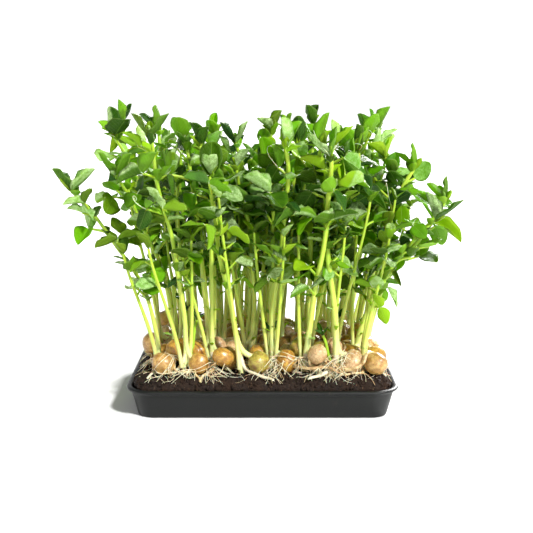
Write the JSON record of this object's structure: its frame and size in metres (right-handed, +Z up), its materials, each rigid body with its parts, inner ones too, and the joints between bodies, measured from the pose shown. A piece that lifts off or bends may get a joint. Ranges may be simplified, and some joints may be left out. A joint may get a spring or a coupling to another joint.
{
  "type": "pea shoot microgreens tray",
  "caption": "Dense bed of leafy pea shoots growing from sprouted peas in soil, in a shallow plain plastic tray.",
  "frame": {"origin": "centre of the tray's flat underside", "axes": "+Z up, +X to the right along the tray's long side, -Y towards the front"},
  "size_m": [0.1631, 0.1268, 0.1232],
  "materials": {
    "tray_plastic": "plain dark satin plastic",
    "potting_soil": "dark brown crumbly soil with fibres",
    "pea_plant": "green leaves, pale yellow-green stems, soft waxy gloss",
    "pea_seed": "tan to golden soaked seed coat, blotched, damp gloss",
    "pea_root": "cream white damp roots"
  },
  "bodies": {
    "root": {"tray": "tray_plastic", "soil": "potting_soil", "plant_01": "pea_plant", "plant_02": "pea_plant", "plant_03": "pea_plant", "plant_04": "pea_plant", "plant_05": "pea_plant", "plant_06": "pea_plant", "plant_07": "pea_plant", "plant_08": "pea_plant", "plant_09": "pea_plant", "plant_10": "pea_plant", "plant_11": "pea_plant", "plant_12": "pea_plant", "plant_13": "pea_plant", "plant_14": "pea_plant", "plant_15": "pea_plant", "plant_16": "pea_plant", "plant_17": "pea_plant", "plant_18": "pea_plant", "plant_19": "pea_plant", "plant_20": "pea_plant", "plant_21": "pea_plant", "plant_22": "pea_plant", "plant_23": "pea_plant", "plant_24": "pea_plant", "plant_25": "pea_plant", "plant_26": "pea_plant", "plant_27": "pea_plant", "plant_28": "pea_plant", "plant_29": "pea_plant", "plant_30": "pea_plant", "plant_31": "pea_plant", "plant_32": "pea_plant", "plant_33": "pea_plant", "plant_34": "pea_plant", "plant_35": "pea_plant", "plant_36": "pea_plant", "plant_37": "pea_plant", "plant_38": "pea_plant", "plant_39": "pea_plant", "plant_40": "pea_plant", "plant_41": "pea_plant", "plant_42": "pea_plant", "plant_43": "pea_plant", "plant_44": "pea_plant", "plant_45": "pea_plant"}
  },
  "joints": []
}
